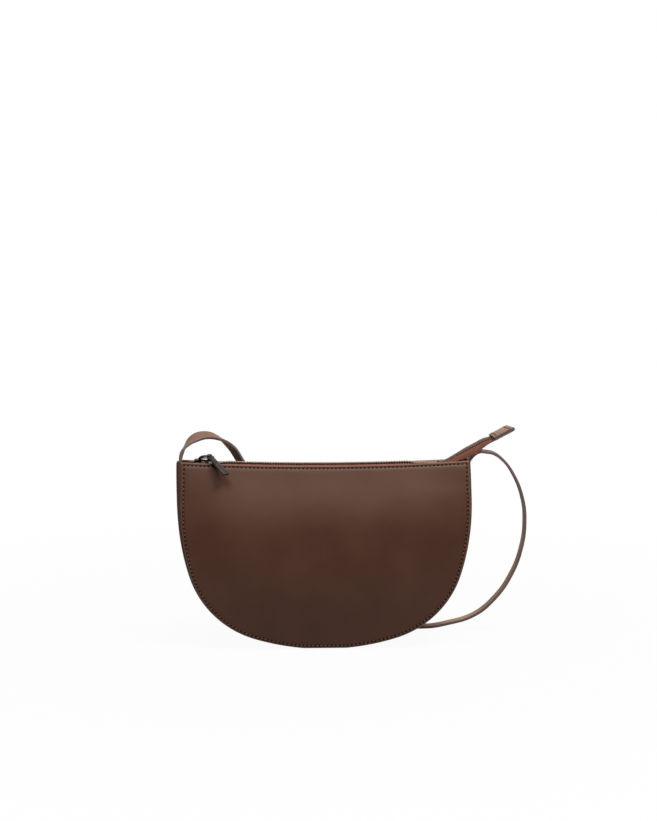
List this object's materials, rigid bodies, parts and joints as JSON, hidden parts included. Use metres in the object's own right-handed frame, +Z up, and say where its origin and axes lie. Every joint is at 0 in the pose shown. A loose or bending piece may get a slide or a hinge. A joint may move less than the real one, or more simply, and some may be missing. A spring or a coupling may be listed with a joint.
{
  "type": "half moon bag",
  "caption": "Half moon shoulder bag of smooth leather panels on a tapered gusset, with a top zip that runs out as a loose tail and a flat sewn strap.",
  "frame": {"origin": "middle of the flat foot that the bag stands on", "axes": "+X along the zip towards its loose tail, -Y out of the front panel, +Z up"},
  "size_m": [0.2993, 0.0779, 0.1854],
  "materials": {
    "panel_leather": "smooth brown leather, soft sheen",
    "gusset_leather": "smooth brown leather",
    "strap_leather": "smooth tan-brown leather, painted edges",
    "board": "fibre board stiffener",
    "lining": "plain woven lining",
    "zip_tape": "woven brown zip tape",
    "zip_metal": "dark plated zip metal",
    "pull_metal": "dark gunmetal"
  },
  "bodies": {
    "shell": {"front_panel": "panel_leather", "back_panel": "panel_leather", "gusset": "gusset_leather", "front_stiffener": "board", "back_stiffener": "board", "gusset_stiffener": "board", "front_lining": "lining", "back_lining": "lining", "gusset_lining": "lining", "front_zip_seam": "zip_tape", "back_zip_seam": "zip_tape", "left_strap_end": "strap_leather", "right_strap_end": "strap_leather"},
    "front_lip": {"front_zip_tape": "zip_tape", "front_zip_teeth": "zip_metal", "front_top_stop": "zip_metal"},
    "back_lip": {"back_zip_tape": "zip_tape", "back_zip_teeth": "zip_metal", "back_top_stop": "zip_metal"},
    "slider": {"slider_body": "pull_metal"},
    "pull_link": {"pull_ring": "pull_metal"},
    "pull": {"pull_bar": "pull_metal"},
    "tail": {"front_tail_tape": "zip_tape", "back_tail_tape": "zip_tape", "front_tail_teeth": "zip_metal", "back_tail_teeth": "zip_metal", "bottom_stop": "zip_metal", "zip_end_tab": "strap_leather"},
    "strap": {"shoulder_strap": "strap_leather"}
  },
  "joints": [
    {"name": "slider_slide", "type": "slide", "parent": "shell", "child": "slider", "axis": [1, 0, 0], "range_m": [0, 0.188]},
    {"name": "front_lip_fold", "type": "hinge", "parent": "shell", "child": "front_lip", "pos_m": [0, -0.00843, 0.153], "axis": [1, 0, 0], "range_deg": [0, 75], "deforming": ["front_zip_tape", "front_zip_teeth"]},
    {"name": "back_lip_fold", "type": "hinge", "parent": "shell", "child": "back_lip", "pos_m": [0, 0.00843, 0.153], "axis": [-1, 0, 0], "range_deg": [0, 75], "deforming": ["back_zip_tape", "back_zip_teeth"]},
    {"name": "pull_ring_swing", "type": "hinge", "parent": "slider", "child": "pull_link", "pos_m": [-0.103, 0, 0.15765], "axis": [-0.766, -0.6428, 0], "range_deg": [0, 30]},
    {"name": "pull_bar_swing", "type": "hinge", "parent": "pull_link", "child": "pull", "pos_m": [-0.09755, -0.00649, 0.16216], "axis": [-0.766, -0.6428, 0], "range_deg": [0, 35]},
    {"name": "zip_tail_lift", "type": "hinge", "parent": "shell", "child": "tail", "pos_m": [0.098, 0, 0.153], "axis": [0, -1, 0], "range_deg": [0, 35]},
    {"name": "strap_swing", "type": "hinge", "parent": "shell", "child": "strap", "pos_m": [0, 0, 0.1645], "axis": [1, 0, 0], "range_deg": [0, 75], "deforming": ["left_strap_end", "right_strap_end"]}
  ],
  "couplings": [
    {"joint": "front_lip_fold", "follows": "slider_slide", "rad_per_m": 6.96},
    {"joint": "back_lip_fold", "follows": "slider_slide", "rad_per_m": 6.96}
  ]
}
